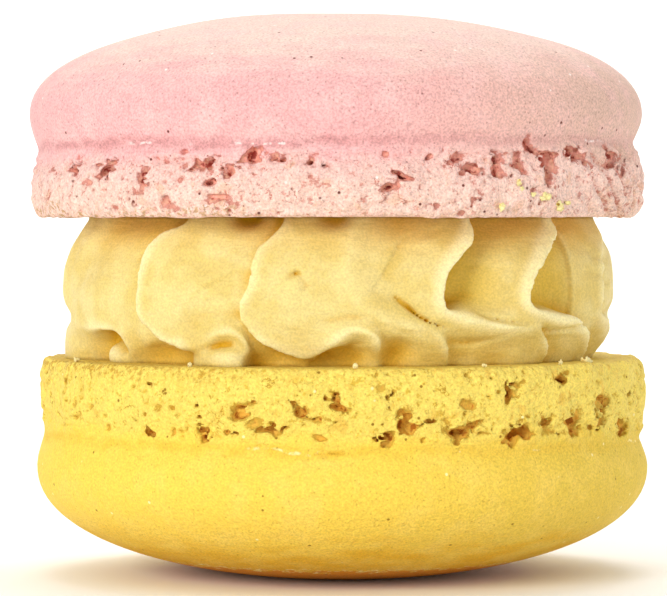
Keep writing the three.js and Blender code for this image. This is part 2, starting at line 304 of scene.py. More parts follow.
def layered(node, colour, *layers):
    """Lays tones over a colour. A layer is its tone, and the shares whose product it covers. A
    colour mix has its share at input 0, its colours at 6 and 7, and its result at output 2."""
    for tone, share, *others in layers:
        for other in others:
            share = node("Math", (share, other), operation="MULTIPLY")
        colour = node("Mix", {0: share, 6: colour, 7: tone}, 2, data_type="RGBA")
    return colour


def baked_meringue(name, tones, waist, crown_levels, worn_level, grain):
    """Almond meringue with a baked skin: matt and dry, faintly mottled where the batter was uneven,
    with ground-almond grain, open pores and flecks of brown almond skin. The foot under the skin is
    crumbly and paler, and its caves are painted darker, as shade in the hollows. Painted light also
    lies in the crown's tone, and painted shade in the crease of the waist and on the side towards
    +X.
    Levels are heights above the shell's flat underside: crown_levels is where the crown's tone
    starts and is full, and above worn_level the dome is rubbed brown. grain: how dark and how light
    its grain gets."""
    material, node = blank(name)
    tones = {part: linear(colour) for part, colour in tones.items()}
    where = millimetres(node)
    across = node("SeparateXYZ", (where,), "X")
    height = node("Attribute", out="Fac", attribute_name="level")
    sway = lumps(node, where, 3.0, (0.2, 0.8), (-0.6, 0.6), offset=40)
    wavy = node("Math", (height, sway), operation="ADD")
    # Towards +X the tone turns a duller beige: painted shade of the side away from the key light.
    side_shade_share = node("MapRange", (across, -2, 22), **EASED)

    # Skin, streaked on the level. The crown's tone is painted light: paler on top of the pink dome,
    # with some of a baked crown's warmth, and on the yellow dome, which lies upside down, a darker
    # orange as painted shade near the floor.
    drawn = node("VectorMath", (where, (0.2, 0.2, 1.4)), operation="MULTIPLY")
    streaks = lumps(node, drawn, 0.9, (0.3, 0.7), (-0.7, 0.7), detail=4, offset=73)
    streaky = node("Math", (wavy, streaks), operation="ADD")
    crown_light_and_shade_share = node("MapRange", (streaky, *crown_levels), **EASED)
    patches = lumps(node, where, 2.6, (0.42, 0.72), (0, 0.55), detail=5)
    # The edge of the worn part is ragged and frays into pale flakes.
    ragged = lumps(node, where, 0.8, (0.3, 0.7), (-0.2, 0.2), detail=5, offset=45)
    ragged = node("Math", (height, ragged), operation="ADD")
    above_worn = node("Math", (ragged, worn_level), operation="SUBTRACT")
    wear = node("MapRange", (above_worn, 0, 0.1, 0, 0.8), **EASED)
    off_edge = node("Math", (above_worn,), operation="ABSOLUTE")
    wear_edge = node("MapRange", (off_edge, 0.03, 0.12, 1, 0), **EASED)
    frayed = lumps(node, where, 0.35, (0.45, 0.6), (0, 0.8), detail=4, offset=57)
    # The crease of the waist is painted darker, as shade under the dome's lip, and here and there
    # the skin has flaked along it.
    crease_line = lumps(node, where, 2.4, (0.3, 0.7), (waist, waist + 0.4), detail=4, offset=61)
    above_crease = node("Math", (height, crease_line), operation="SUBTRACT")
    off_crease = node("Math", (above_crease,), operation="ABSOLUTE")
    crease_shade_share = node("MapRange", (off_crease, 0.05, 0.6, 1, 0), **EASED)
    at_crease = node("MapRange", (off_crease, 0.02, 0.14, 1, 0), **EASED)
    patchy_crease_shade = lumps(node, where, 1.3, (0.35, 0.6), (0.45, 1.0), detail=4, offset=67)
    crease = layered(node, tones["crease"], (tones["browned"], side_shade_share, 0.6))
    flaking = lumps(node, where, 0.6, (0.46, 0.6), (0, 0.75), detail=6, offset=95)
    stretches = lumps(node, where, 7.0, (0.55, 0.62), detail=1, offset=87)
    skin = layered(
        node,
        tones["skin"],
        (tones["browned"], side_shade_share),
        (tones["crown"], crown_light_and_shade_share),
        (tones["mottle"], patches),
        (tones["worn"], wear),
        (tones["flake"], frayed, wear_edge),
        (crease, patchy_crease_shade, crease_shade_share),
        (tones["flake"], flaking, stretches, at_crease),
    )

    # Foot. Ground almond is 0.1 to 0.5 mm across, which sets its crumbs and pits and the grain.
    crumbs = lumps(node, where, 0.38, (0.4, 0.6), detail=6, offset=11)
    high_up = node("MapRange", (wavy, 1.0, waist - 1.4, 0, 0.8), **EASED)
    low_down = node("MapRange", (wavy, 1.1, 0.1), **EASED)
    to_the_left = node("MapRange", (across, 6, -18, 0.25, 1), **EASED)
    bare = lumps(node, where, 1.3, (0.57, 0.68), (0, 0.6), detail=5, offset=17)
    pits = lumps(node, where, 0.4, (0.58, 0.66), (0, 0.7), detail=4, offset=29)
    grubby = lumps(node, where, 0.35, (0.5, 0.6), (0, 0.85), detail=5, offset=33)
    # Fine crooked cracks, where one noise crosses its middle value, and only in patches.
    crooked = lumps(node, where, 1.5, detail=6, offset=71)
    off_middle = node("Math", (crooked, 0.5), operation="SUBTRACT")
    off_middle = node("Math", (off_middle,), operation="ABSOLUTE")
    cracks = node("MapRange", (off_middle, 0.004, 0.014, 1, 0), **EASED)
    cracked = lumps(node, where, 1.6, (0.56, 0.62), (0, 0.85), detail=3, offset=83)
    foot = layered(
        node,
        tones["foot_shade"],
        (tones["foot"], crumbs),
        (tones["upper_foot"], high_up),
        (tones["foot"], side_shade_share, 0.7),
        (tones["bare"], bare),
        (tones["pit"], pits),
        (tones["cave_edge"], cracks, cracked),
        (tones["scorched"], grubby, to_the_left, low_down),
    )
    below_waist = node("MapRange", (wavy, waist - 0.2, waist - 1.8), **EASED)
    colour = layered(node, skin, (foot, below_waist))
    grain = lumps(node, where, 0.16, (0.3, 0.7), grain, detail=4, offset=7)
    colour = node("Mix", {0: 1.0, 6: colour, 7: grain}, 2, **TINTED)

    # Flecks of almond skin, finer dust of it, and sugar: at most one dot to a cell of the pattern.
    # Each: size of the cells in mm, where the dot's soft edge starts and ends as shares of a cell,
    # its strength, and the share of the cells that stay empty.
    fleck_gaps = node("MapRange", (below_waist, 0, 1, 0.8, 0.45), **EASED)
    for cell, edge, strength, draw, gaps, tone in (
        (1.1, (0.06, 0.13), 1, "Red", fleck_gaps, "speck"),
        (0.4, (0.1, 0.25), 0.35, "Red", 0.35, "speck"),
        (0.9, (0.08, 0.16), 0.9, "Green", 0.9, "flake"),
    ):
        distance = node("TexVoronoi", {"Vector": where, "Scale": 1 / cell}, "Distance")
        dot = node("MapRange", (distance, *edge, strength, 0), **EASED)
        drawn = node("SeparateColor", (distance.node.outputs["Color"],), draw)
        chosen = node("Math", (drawn, gaps), operation="GREATER_THAN")
        colour = layered(node, colour, (tones[tone], dot, chosen))

    # Caves, by how far a place lies under the foot's own surface: the lip, the deeper parts and the
    # nooks are painted darker, as shade in the hollows, over a warmer tone inside.
    depth = node("Attribute", out="Fac", attribute_name="depth")
    uneven = lumps(node, where, 0.35, (0.2, 0.8), (-0.16, 0.16), detail=3, offset=50)
    depth = node("Math", (depth, uneven), operation="ADD")
    walls = lumps(node, where, 0.4, (0.42, 0.6), (0, 0.8), detail=5, offset=23)
    nook_shade_patches = lumps(node, where, 0.7, (0.49, 0.58), (0, 0.9), detail=5, offset=91)
    colour = layered(
        node,
        colour,
        (tones["cave_edge"], node("MapRange", (depth, 0.12, 0.26, 0, 0.7), **EASED)),
        (
            layered(node, tones["cave"], (tones["bare"], walls)),
            node("MapRange", (depth, 0.24, 0.5, 0, 0.95), **EASED),
        ),
        (tones["deep_cave"], node("MapRange", (depth, 0.7, 1.6), **EASED)),
        (tones["nook"], nook_shade_patches, node("MapRange", (depth, 0.3, 0.6), **EASED)),
    )

    crumb_bump = node(
        "Bump",
        {
            "Height": lumps(node, where, 0.4, detail=6, offset=3),
            "Strength": node("MapRange", (below_waist, 0, 1, 0.5, 1.0), **EASED),
            "Distance": 0.3 * MM,
        },
    )
    pores = lumps(node, where, 0.7, (0.62, 0.72), (1, 0), detail=3, offset=21)
    shader = node(
        "BsdfPrincipled",
        {
            "Base Color": colour,
            "Roughness": 0.72,
            "IOR": 1.45,
            "Specular IOR Level": 0.3,
            "Subsurface Weight": 0.1,
            "Subsurface Radius": (1.0, 0.5, 0.3),
            "Subsurface Scale": 0.4 * MM,
            "Normal": node(
                "Bump",
                {"Height": pores, "Strength": 0.5, "Distance": 0.12 * MM, "Normal": crumb_bump},
            ),
        },
    )
    node("OutputMaterial", {"Surface": shader})
    return material


def whipped_butter_cream():
    """Butter whipped with sugar and yolk: satin and a little see-through. Its rims are painted
    paler, as a highlight, its folds and valleys a deeper gold, as painted shade, and next to the
    shells a warmer gold, as painted shade under them. Tiny air bubbles and sugar leave it faintly
    curdled."""
    material, node = blank("whipped_butter_cream")
    where = millimetres(node)
    height = node("SeparateXYZ", (where,), "Z")
    depth = node("Attribute", out="Fac", attribute_name="depth")
    fold = node("Attribute", out="Fac", attribute_name="fold")
    # Painted shade under the shells: next to them, and deeper below the crests, a warmer gold.
    recess_shade = node("MapRange", (depth, 0.1, 1.3, 0.1, 0.75), **EASED)
    near_top = node("MapRange", (height, CREAM_TOP - 3.0, CREAM_TOP - 0.3), **EASED)
    near_base = node("MapRange", (height, CREAM_BASE + 2.8, CREAM_BASE + 0.5), **EASED)
    colour = layered(
        node,
        linear("#DFCB84"),
        (linear("#D7BF70"), lumps(node, where, 2.8, (0.38, 0.62), detail=3)),
        # Painted shade: deeper below the crests, a deeper gold.
        (linear("#DCB732"), node("MapRange", (depth, 0.5, 2.9, 0, 0.85), **EASED)),
        # The warmer gold of the painted shade under the upper and the lower shell.
        (linear("#DDAE4E"), near_top, recess_shade),
        (linear("#E0B94E"), near_base, recess_shade),
        # Painted shade in folds and a painted highlight on rims, by how much cream crowds round a
        # place.
        (linear("#CE9C0A"), node("MapRange", (fold, 0.03, 0.24, 0, 0.95), **EASED)),
        (linear("#F4E8B2"), node("MapRange", (fold, -0.24, -0.03, 0.8, 0), **EASED)),
    )
    grain = lumps(node, where, 0.16, (0.3, 0.7), (0.87, 1.07), detail=4, offset=5)
    # Drag lines are long on the level and thin upwards.
    drawn = node("VectorMath", (where, (0.35, 0.35, 1.5)), operation="MULTIPLY")
    drag = lumps(node, drawn, 1.1, detail=3, offset=31)
    drag_bump = node("Bump", {"Height": drag, "Strength": 0.6, "Distance": 0.25 * MM})
    # The real bubbles are under 0.1 mm, too fine to show, so they are drawn three times as large.
    curds = lumps(node, where, 0.3, detail=4, offset=9)
    shader = node(
        "BsdfPrincipled",
        {
            "Base Color": node("Mix", {0: 1.0, 6: colour, 7: grain}, 2, **TINTED),
            "Roughness": 0.5,
            "IOR": 1.45,
            "Specular IOR Level": 0.22,
            "Subsurface Weight": 0.3,
            "Subsurface Radius": (0.9, 0.85, 0.3),
            "Subsurface Scale": 1.0 * MM,
            "Normal": node(
                "Bump",
                {"Height": curds, "Strength": 0.5, "Distance": 0.05 * MM, "Normal": drag_bump},
            ),
        },
    )
    node("OutputMaterial", {"Surface": shader})
    return material


# ---- Shells ----
# A shell's own frame has its flat underside at height 0 and its dome up. "side" is the way from the
# middle of the underside, round the foot and up over the dome, mm.

GRID_STEP = 0.16  # between samples of the foot, mm
EDGE_ROUND = 0.7  # how far the rounded edge of the underside pulls in
DOME_POWER = 2.15  # 2 would be an ellipse
UNDERSIDE_RIM = 0.9  # how far the foot's crumbs reach in under the edge
SKIN_ABOVE_WAIST = 1.5  # where the smooth skin takes over
WRINKLE_SPACING = 2.2
SMALL_CAVES, SCARS, PORES = 260, 110, 520
CRACK_STEP = 0.8  # degrees
CLOSEST_POINTS = 0.25  # on the dome and the underside
FOOT_DEPTHS = (-2.4, 0.6)  # how far in and out from the outline the foot is worked out


@dataclass(frozen=True)
class Shell:
    height: float  # underside to the top of the dome
    dome_radius: float
    widest: float  # height of the dome's widest ring
    waist: float  # height of the waist between dome and foot
    waist_radius: float
    bulge: float  # how far the foot swells past the waist
    belly: float  # height at which the foot is widest
    sag: float  # how much nearer to the underside the waist is on the side at -X
    rest_radius: float  # flat spot on the dome
    seed: int
    caves: tuple  # azimuth, height, width and height of each large cave in the foot
    wrinkles: tuple  # azimuth, spread and depth of each patch of wrinkles
    cracks: tuple  # height, and the azimuths at its ends, of each crack in the skin


def side_radius(shell, height):
    swell = shell.bulge * ease((shell.waist - height) / (shell.waist - shell.belly))
    edge = EDGE_ROUND * np.clip(1 - height / shell.belly, 0, 1) ** 4
    lip = ease((height - shell.waist) / (shell.widest - shell.waist))
    return shell.waist_radius + swell - edge + (shell.dome_radius - shell.waist_radius) * lip


class Profile:
    """The outline of a shell, measured along its side."""

    def __init__(self, shell):
        rest_share = shell.rest_radius / shell.dome_radius
        rise = (shell.height - shell.widest) / (1 - rest_share**DOME_POWER) ** (1 / DOME_POWER)
        heights = np.linspace(0, shell.widest, 120)
        lift = np.linspace(0, math.acos(rest_share ** (DOME_POWER / 2)), 160)[1:]
        dome_radius = shell.dome_radius * np.cos(lift) ** (2 / DOME_POWER)
        dome_height = shell.widest + rise * np.sin(lift) ** (2 / DOME_POWER)
        radius = np.concatenate([[0], side_radius(shell, heights), dome_radius, [0]])
        height = np.concatenate([[0], heights, dome_height, [shell.height]])
        length = np.concatenate([[0], np.cumsum(np.hypot(np.diff(radius), np.diff(height)))])
        self.side = np.linspace(0, length[-1], 2000)
        self.radius = np.interp(self.side, length, radius)
        self.height = np.interp(self.side, length, height)
        self.foot_start = length[1]
        # Outward directions, averaged over a stretch so that they never cross under the surface.
        half = 45
        stretch = np.hanning(2 * half)
        stretch /= stretch.sum()
        out_radius, out_height = (
            np.convolve(np.pad(np.gradient(way), half, "edge"), stretch, "same")[half:-half]
            for way in (self.height, -self.radius)
        )
        size = np.hypot(out_radius, out_height)
        self.out_radius = out_radius / size
        self.out_height = out_height / size

    def side_at(self, height):
        """The way along the side to a height of the foot or lip."""
        rising = self.side >= self.foot_start
        return np.interp(height, self.height[rising], self.side[rising])

    def at(self, side, out=0.0):
        """Radius and height of a place along the side, and so far out from it."""
        ways = (self.radius, self.height, self.out_radius, self.out_height)
        radius, height, out_radius, out_height = (np.interp(side, self.side, way) for way in ways)
        return radius + out * out_radius, height + out * out_height


def carve_cave(field, grid, warp, azimuth, side, out, half):
    """Scoops a ragged hollow out of the solid. half: its half sizes round, along and inwards. warp:
    how far each sample is moved before it is compared with the hollow, in the same three ways."""
    columns, rows, across, up = grid.window(azimuth, side, half[0] + 0.8, half[1] + 0.8)
    where = np.ix_(columns, rows, range(len(grid.out)))
    inner = np.sqrt(
        ((across[:, None, None] + warp[0][where]) / half[0]) ** 2
        + ((up[None, :, None] + warp[1][where]) / half[1]) ** 2
        + ((grid.out[None, None, :] - out + warp[2][where]) / half[2]) ** 2
    )
    field[where] = np.maximum(field[where], (1 - inner) * min(half))


def foot_relief(shell, profile, grid, rng):
    """How far the foot's surface lies out from the profile, without and with its wrinkles."""
    height = profile.at(grid.along)[1][None, :]
    under = grid.along[None, :] < profile.foot_start
    band = between(grid.along, grid.along[2], profile.foot_start + 0.5)[None, :]
    band = band * (1 - between(height, shell.waist - 0.9, shell.waist + 0.2))
    ruffles = 0.12 * grid.noise(rng, 4.2, 6.0) + 0.15 * grid.noise(rng, 1.7, 2.0)
    crumbs = 0.22 * np.abs(grid.noise(rng, 1.4, 1.2)) - 0.1
    crumbs += 0.14 * np.abs(grid.noise(rng, 0.65, 0.6))
    # The skin ends in a thin uneven edge, and the foot starts a little behind it.
    skin_edge = shell.waist - 0.75 + 0.3 * grid.noise(rng, 2.2, 50)
    skin_edge += 0.15 * grid.noise(rng, 0.7, 50)
    behind = 0.13 * (1 - between(height, skin_edge - 0.2, skin_edge + 0.1)) * ~under
    behind = behind * between(grid.along, profile.foot_start, profile.foot_start + 2)
    relief = band * (ruffles + crumbs - behind)
    # The crease of the waist, and wrinkles where the foot slumped sideways as it set.
    crease = np.exp(-(((height - shell.waist - 0.15 + 0.15 * grid.noise(rng, 9, 50)) / 0.4) ** 2))
    relief = relief - 0.14 * crease * (0.6 + 0.4 * grid.noise(rng, 7, 50))
    wrinkled = relief
    for azimuth, spread, depth in shell.wrinkles:
        beside = (np.degrees(grid.azimuth)[:, None] - azimuth + 180) % 360 - 180
        slant = beside * TURN / 360 * grid.radius + 0.95 * height + 0.35 * grid.noise(rng, 2.5, 3.5)
        phase = (slant / WRINKLE_SPACING) % 1 - 0.5
        fold = -0.4 * np.cos(TURN * phase) - np.exp(-((phase / 0.13) ** 2))
        wrinkled = wrinkled + depth * band * fold * np.exp(-((beside / spread) ** 2))
    return relief, wrinkled


def foot_field(shell, profile, grid, rng):
    """Distance-like field of the foot, negative inside, and the height of its ruffles."""
    relief, wrinkled = foot_relief(shell, profile, grid, rng)
    field = grid.out[None, None, :] - wrinkled[:, :, None]
    warp = [
        0.36 * grid.noise(rng, 0.9, 0.8, 0.9)
        + 0.22 * grid.noise(rng, 0.45, 0.4, 0.45)
        + 0.1 * grid.noise(rng, 0.25, 0.22, 0.25)
        for _ in range(3)
    ]
    # Each large cave is a few hollows that run into each other, with small bites round its rim.
    for azimuth, cave_height, width, tall in shell.caves:
        for lobe in range(5):
            nudge = rng.uniform(-0.3, 0.3, 2) if lobe else (0, 0)
            half = np.array([width, tall, 0]) * rng.uniform(0.22, 0.42, 3)
            half[2] = rng.uniform(0.5, 1.2)
            place = profile.side_at(cave_height + tall * nudge[1])
            around = math.radians(azimuth) + width * nudge[0] / grid.radius
            carve_cave(field, grid, warp, around, place, -0.2, half)
        for way in rng.uniform(0, TURN, 9):
            rim = rng.uniform(0.45, 0.75)
            around = math.radians(azimuth) + width * rim * math.cos(way) / grid.radius
            place = profile.side_at(cave_height + tall * rim * math.sin(way))
            half = rng.uniform((0.12, 0.1, 0.25), (0.32, 0.26, 0.6))
            carve_cave(field, grid, warp, around, place, -0.05, half)
    # Small caves, larger ones only away from the large caves.
    taken = [math.radians(cave[0]) for cave in shell.caves]
    for _ in range(SMALL_CAVES):
        azimuth = rng.uniform(-math.pi, math.pi)
        down = rng.beta(1.0, 2.0)
        crowd = min((abs(azimuth - other) for other in taken), default=9) * grid.radius
        beside_large = min(taken) - 0.6 < azimuth < max(taken) + 0.4 or crowd < 1.6
        size = rng.uniform(0.14, 0.3) if beside_large else rng.uniform(0.2, 0.75) * (1 - 0.5 * down)
        place = profile.side_at((shell.waist - 0.7) * (1 - down) - 0.2 * size)
        half = size * rng.uniform((0.7, 0.5, 0.9), (1.8, 1.0, 1.5))
        carve_cave(field, grid, warp, azimuth, max(place, grid.along[8]), -0.05, half)
    # Shallow scars, where crumbs have come away.
    for _ in range(SCARS):
        down = rng.beta(1.2, 1.6)
        half = rng.uniform((0.4, 0.3, 0.18), (1.3, 0.7, 0.34))
        place = profile.side_at((shell.waist - 0.8) * (1 - down))
        carve_cave(field, grid, warp, rng.uniform(0, TURN), max(place, grid.along[10]), 0.1, half)
    # Pores, smoother than the caves.
    still = [0.5 * way for way in warp]
    for _ in range(PORES):
        size = rng.uniform(0.12, 0.24)
        place = rng.uniform(profile.foot_start + 0.3, profile.side_at(shell.waist - 0.4))
        half = (size * rng.uniform(0.7, 1.5), size, size * 1.2)
        carve_cave(field, grid, still, rng.uniform(0, TURN), place, 0.0, half)
    faint = [0.3 * way for way in warp]
    for crack_height, first, last in shell.cracks:
        for azimuth in np.arange(first, last, CRACK_STEP):
            place = profile.side_at(crack_height + 0.12 * math.sin(azimuth / 4))
            half = (rng.uniform(0.4, 0.7), 0.09, rng.uniform(0.1, 0.25))
            carve_cave(field, grid, faint, math.radians(azimuth), place, 0.0, half)
    # The wrinkles count for a little over half their depth, so that their valleys take some of the
    # caves' painted shade.
    return field, 0.45 * relief + 0.55 * wrinkled


def make_shell(name, shell, material, place, flip):
    """A whole shell. place: turns points in the shell's own frame into the macaron's."""
    rng = np.random.default_rng(shell.seed)
    profile = Profile(shell)
    skin_start = float(profile.side_at(shell.waist + SKIN_ABOVE_WAIST))
    span = (profile.foot_start - UNDERSIDE_RIM, skin_start)
    grid = RoundGrid(shell.dome_radius, GRID_STEP, span, FOOT_DEPTHS)
    field, relief = foot_field(shell, profile, grid, rng)
    azimuth, side, out, quads, index = net(field, grid)
    depth = relief[
        np.round(azimuth / TURN * grid.columns).astype(int) % grid.columns,
        np.clip(np.searchsorted(grid.along, side), 0, len(grid.along) - 1),
    ] - out

    faces = quads.tolist()
    blocks = [(azimuth, side, out)]
    start = len(azimuth)

    def ring(count, way):
        nonlocal start
        blocks.append((TURN * np.arange(count) / count, np.full(count, way), np.zeros(count)))
        start += count
        return np.arange(start - count, start)

    def close(edge, ways, end, inwards_first):
        """Carries the surface on from an edge of the net to the axis, with fewer points near it."""
        nonlocal start
        last = edge
        for way in ways:
            spacing = np.interp(way, profile.side, profile.radius) * TURN / len(last)
            halved = spacing < CLOSEST_POINTS and len(last) % 2 == 0 and len(last) > 16
            here = ring(len(last) // 2 if halved else len(last), way)
            new = stitch(last, here)
            faces.extend(new if inwards_first else [face[::-1] for face in new])
            last = here
        blocks.append((np.zeros(1), np.full(1, end), np.zeros(1)))
        fan = [[int(last[k]), int(last[(k + 1) % len(last)]), start] for k in range(len(last))]
        faces.extend(fan if inwards_first else [face[::-1] for face in fan])
        start += 1

    low_edge = index[:, 0, :].max(axis=1)
    high_edge = index[:, -1, :].max(axis=1)
    high = grid.along[-1]
    close(high_edge, np.arange(high + 0.2, profile.side[-1] - 0.4, 0.5), profile.side[-1], True)
    close(low_edge, np.arange(grid.along[0] - 0.3, 0.8, -1.2), 0.0, False)

    azimuth, side, out = (np.concatenate(parts) for parts in zip(*blocks))
    radius, height = profile.at(side, out)
    levels = height
    near_waist = np.exp(-(((height - shell.waist) / 1.6) ** 2))
    height = height - shell.sag * (1 - np.sin(azimuth)) / 2 * near_waist
    # Slow unevenness of the whole shell, and a crown that is not quite level.
    waves = 0
    for k in range(2, 9):
        wave = rng.uniform(0.02, 0.09) / math.sqrt(k)
        waves = waves + wave * np.cos(k * azimuth + rng.uniform(0, TURN))
    radius = radius * (1 + waves / shell.dome_radius)
    across, back = radius * np.sin(azimuth), -radius * np.cos(azimuth)
    if shell.rest_radius == 0:
        dome = between(height, shell.widest, shell.height)
        slow = 0.10 * np.sin(across / 5.1 + 2.2) * np.cos(back / 6.3)
        height = height + dome * (slow + 0.05 * np.sin(across / 2.3 + back / 3.1))
    points = place(across, back, height)
    depths = np.concatenate([depth, np.zeros(len(points) - len(depth))])
    return mesh_piece(name, points, faces, material, flip, depth=depths, level=levels)


# ---- Cream ----
# "height" is above the cream's lower face. The nozzle's teeth leave ridges, given by the route of
# each crest, as azimuth and height.

CREAM_RADIUS = 20.0
CREAM_STEP = 0.18  # between samples, mm
CREAM_DEPTHS = (14.4, 21.8)  # the radii between which the cream's side is worked out
CREST_OUTLINE = ((0, 18.9), (1.2, 19.85), (2.8, 20.45), (5.3, 20.75), (8, 20.35), (10.5, 19.1))
VALLEY_OUTLINE = ((0, 17.5), (2.0, 17.9), (5.0, 18.1), (8, 17.5), (10.5, 16.4))
CREST_ROUND = 0.5  # radius of a crest's edge
CREST_HALF = 0.35  # half the width of a crest
UNDERCUT = 0.6  # how far a steep side runs back under the crest, per depth
FILLET = 0.9  # between a ridge and what is beside it
LOBE_FILLET = 0.35  # as a share of the lobe's largest half size
POCKET_FILLET, TOP_POCKET_FILLET = 1.0, 0.5
FOLD_REACH = 0.7  # how far round a place the cream counts towards its being in a fold

# How slowly a crest's gentle side falls away, how far its end is sunk, and the crest from the top
# down: azimuth, height, and which side is the steep one: 1 the side on the left of someone who
# walks down the crest, -1 the side on the right, 0 neither.
FRONT_CRESTS = (
    (7.0, 0.3, (
        (-74, 10.5, -0.6), (-77.5, 9, -0.6), (-79.5, 7.3, -0.5), (-80.5, 5.1, -0.3),
        (-80, 4, -0.1), (-76, 3.2, -0.1), (-67.6, 2.7, -0.5), (-60.5, 2.5, -0.9),
        (-55.2, 2.5, -0.9), (-52.4, 2.1, -0.8), (-51.3, 1.4, -0.8), (-51.2, 0.8, -0.7),
        (-52.5, 0, -0.6),
    )),
    (8.0, 0.35, (
        (-33.5, 10.5, -0.8), (-35.3, 9.9, -0.9), (-38.6, 9.6, -1), (-41.2, 9, -1),
        (-42.8, 8.2, -1), (-43.7, 7.1, -1), (-43.9, 5.7, -1), (-44.1, 4.6, -1), (-43.8, 3.5, -1),
        (-41.9, 2.6, -1), (-39.9, 2, -1), (-37.5, 1.6, -1), (-33.6, 1.4, -1), (-30.7, 1.3, -0.9),
        (-28.3, 1.7, -0.9), (-25.5, 2.3, -0.5), (-22.8, 2.6, 0),
    )),
    (1.5, 0.2, (
        (-33.6, 1.4, -1), (-30.7, 1.3, -0.9), (-28.3, 1.7, -0.8), (-25.5, 2.2, -0.6),
        (-22.8, 2.4, -0.2), (-20.5, 2.2, 0.4), (-19.3, 1.7, 0.8), (-19.1, 1, 1), (-19.9, 0, 1),
    )),
    (8.5, 0.05, (
        (-10.2, 10.5, -0.7), (-11.9, 9.8, -0.9), (-14.1, 9.1, -1), (-16.1, 8.4, -1),
        (-17.2, 7.3, -1), (-17.5, 6.4, -1), (-18, 5.5, -1), (-19.2, 4.8, -1), (-20, 4.2, -1),
        (-19.9, 3.4, -1), (-18.9, 2.9, -1), (-17.4, 2.2, -1), (-15.4, 1.6, -1), (-13.1, 1.15, -1),
        (-11, 0.85, -1), (-8.1, 0.7, -1), (-5.3, 0.75, -1), (-3.4, 1.0, -1), (-1.3, 1.5, -0.6),
        (0, 2.1, 0),
    )),
    (0.8, 0.3, (
        (-3.4, 1.0, -1), (-1.3, 1.5, -1), (0, 2.1, -0.9), (2.3, 2.6, -0.7), (4.3, 2.6, -0.4),
        (6.4, 2.3, 0.2), (8.1, 1.7, 0.8), (9.2, 0.8, 1), (9.5, 0, 1),
    )),
    (5.0, 0, (
        (3.6, 10.5, 0), (2.8, 9.5, 0), (2.1, 8.4, 0), (1.7, 7.2, 0), (2.1, 6, 0), (3.4, 5, 0),
        (5.7, 4, 0), (8.7, 3.3, 0), (12.5, 2.8, 0), (16.4, 2.5, 0.2), (19.5, 2.2, 0.5),
        (21.6, 1.6, 1), (22.8, 0.9, 1), (23, 0, 1),
    )),
    (3.4, 0, (
        (29.5, 10.5, 0.9), (29, 9.6, 1), (27.7, 8.7, 1), (25.5, 8, 1), (23.2, 7.2, 1),
        (21.6, 6.4, 1), (20.9, 5.7, 1), (20.7, 4.8, 1), (21.4, 4, 0.9), (23, 3.6, 0.5),
        (25.4, 3.3, 0.3), (28.7, 3, 0.2), (32.7, 2.8, 0.2), (37.1, 2.7, 0.3), (41.1, 2.7, 0.5),
        (44.3, 2.6, 0.8), (47, 2, 1), (48.8, 1.3, 1), (49.9, 0.5, 1), (48.9, 0, 1),
    )),
    (2.3, 0, (
        (54.1, 10.5, 0.9), (54, 9.8, 1), (53.1, 9.3, 1), (49.9, 8.3, 1), (46.9, 7.4, 1),
        (43.7, 6.3, 1), (42.3, 5.7, 1), (41.7, 4.8, 1), (42.4, 4.1, 0.9), (44.7, 3.6, 0.5),
        (48.2, 3.3, 0.3), (52.6, 3.1, 0.3), (57.2, 3, 0.5), (61.3, 2.6, 0.8), (65.7, 1.8, 1),
        (68.5, 0.9, 1), (69.4, 0, 1),
    )),
    (2.6, 0, (
        (80, 10.5, 0.8), (78, 9.1, 0.9), (73.5, 7.7, 0.9), (71.5, 6.2, 0.9), (70.5, 5.1, 0.9),
        (71.5, 3.8, 0.6), (74, 3.1, 0.4), (80, 2.6, 0.6), (86, 1.8, 0.9), (89, 0.8, 1), (88, 0, 1),
    )),
)
# The two ways a crest runs: straight over into its lobe, or dipping first and curling up into it.
CREST_OVER = (
    (8.5, 10.5, 0.9), (7.2, 9.2, 1), (3.5, 7.6, 1), (0.6, 6.4, 1), (-0.3, 4.8, 1), (0.6, 4, 0.9),
    (2.6, 3.5, 0.4), (9, 3, 0.2), (16, 2.7, 0.3), (22, 2.5, 0.7), (25, 1.8, 1), (26.5, 0.8, 1),
    (26, 0, 1),
)
CREST_CURL = (
    (10.5, 10.5, -0.8), (5.4, 9.5, -1), (1.2, 8.2, -1), (0.2, 5.7, -1), (0.4, 3.5, -1), (4, 2, -1),
    (10.4, 1.4, -0.9), (13.3, 1.4, -0.5), (15.7, 1.7, 0), (18.5, 2.2, 0.3), (21.2, 2.4, 0.5),
    (24.5, 1.7, 0.9), (24.9, 1, 1), (24, 0, 1),
)
ROUTE_REACH = 9.0  # how far beyond its ends a ridge can reach
# Rounded lumps under the crests: azimuth, height, radius, and half sizes round, up and out.
LOBES = (
    (-82, 0.7, 17.7, (4.6, 2.7, 2.9)), (-27, 6.7, 17.2, (4.4, 3.2, 2.3)),
    (-58, 0.4, 17.9, (1.5, 1.1, 1.4)), (-29.5, 0.3, 17.6, (1.9, 1.3, 1.7)),
    (-24, 0.4, 18.6, (2.1, 1.4, 1.8)), (-18.6, 1.9, 17.3, (1.7, 1.9, 1.6)),
    (6, 0.4, 17.0, (1.6, 1.6, 1.7)), (17.4, 0.9, 17.1, (2.4, 1.9, 1.8)),
    (33, 0.7, 16.7, (4.0, 1.7, 1.8)), (43, 0.9, 17.3, (2.4, 1.7, 2.0)),
    (59, 0.9, 17.1, (3.6, 1.8, 2.0)),
)
